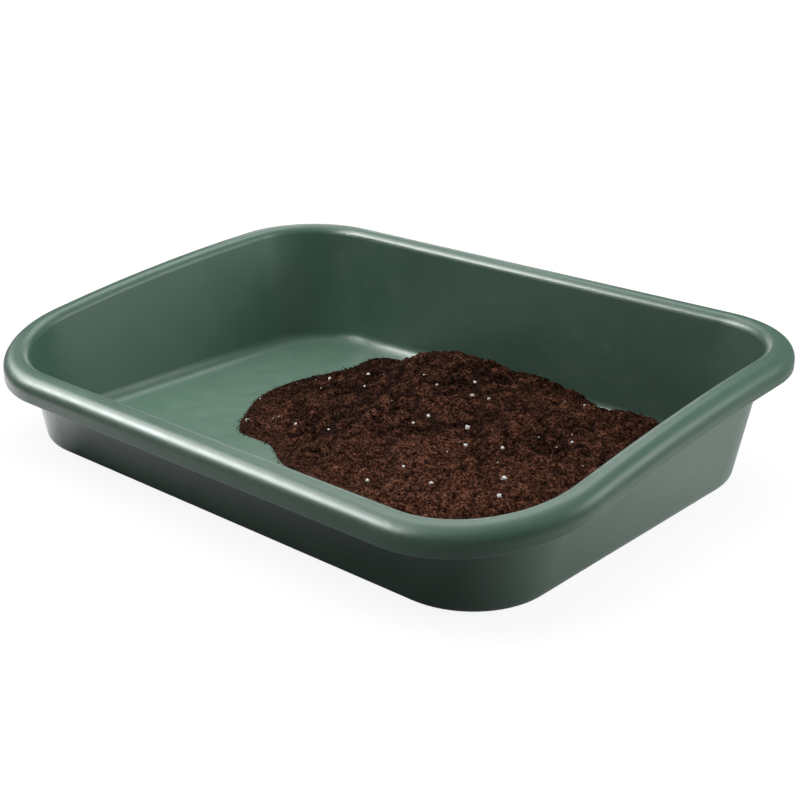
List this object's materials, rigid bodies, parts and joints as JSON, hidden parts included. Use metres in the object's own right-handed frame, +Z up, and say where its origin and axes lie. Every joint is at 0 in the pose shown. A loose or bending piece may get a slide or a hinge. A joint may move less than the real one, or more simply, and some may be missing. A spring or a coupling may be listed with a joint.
{
  "type": "potting soil tray",
  "caption": "Rectangular plastic potting tray with a low front, a high back, rounded corners and a rolled rim, holding a heap of potting soil with perlite.",
  "frame": {"origin": "on the table, below the middle of the rim's outline", "axes": "+X along the tray's length, +Y from the low front to the high back, +Z up"},
  "size_m": [0.6, 0.43, 0.12],
  "materials": {
    "green_plastic": "satin moulded plastic with a fine grain",
    "potting_soil": "dull, loose and crumbly",
    "perlite": "dull white porous nuggets"
  },
  "bodies": {
    "root": {"tray": "green_plastic", "soil_heap": "potting_soil", "perlite_grains": "perlite"}
  },
  "joints": []
}
